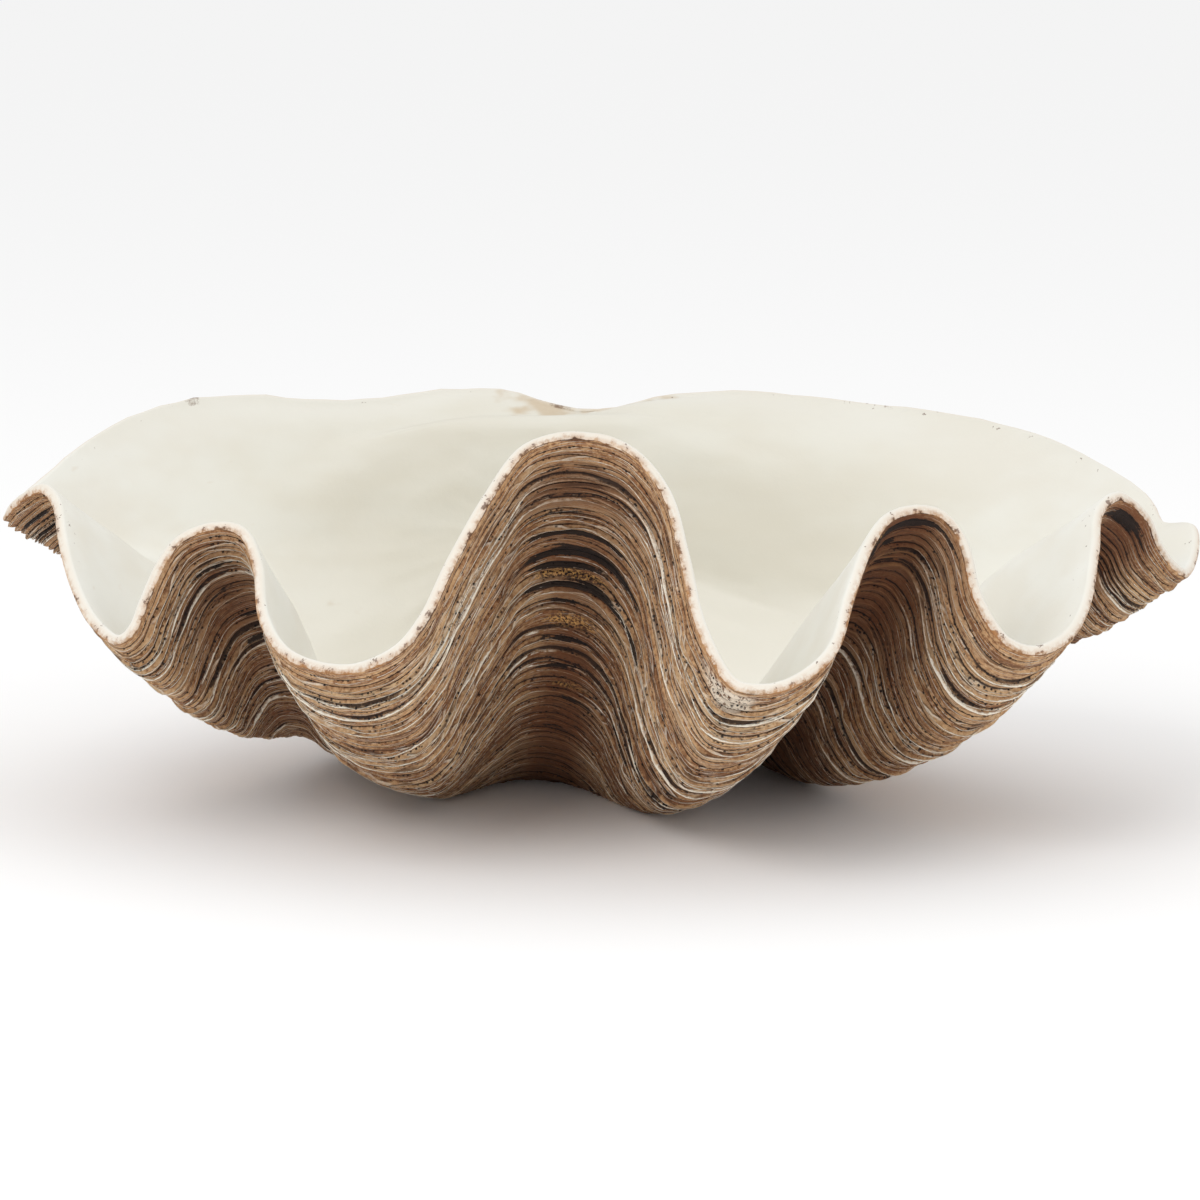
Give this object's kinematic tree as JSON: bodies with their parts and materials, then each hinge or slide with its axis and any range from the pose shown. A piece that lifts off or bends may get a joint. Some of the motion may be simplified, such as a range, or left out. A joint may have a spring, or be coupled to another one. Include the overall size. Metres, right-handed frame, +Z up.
{
  "type": "giant clam shell valve",
  "caption": "Single ribbed giant clam valve lying hollow side up, with a deeply waved front margin, a smooth bowl and an umbo behind the hinge.",
  "frame": {"origin": "middle of the bounding box in plan, at the level of the worn flats under the ribs that the valve rests on", "axes": "+Z up out of the hollow, +Y towards the hinge and umbo, -Y towards the waved margin, +X to the right seen from the margin"},
  "size_m": [0.5972, 0.4529, 0.2085],
  "materials": {
    "shell": "matte weathered shell lime, tan brown and rough with growth ledges outside, cream white and smooth inside"
  },
  "bodies": {
    "root": {"clam_shell": "shell"}
  },
  "joints": []
}
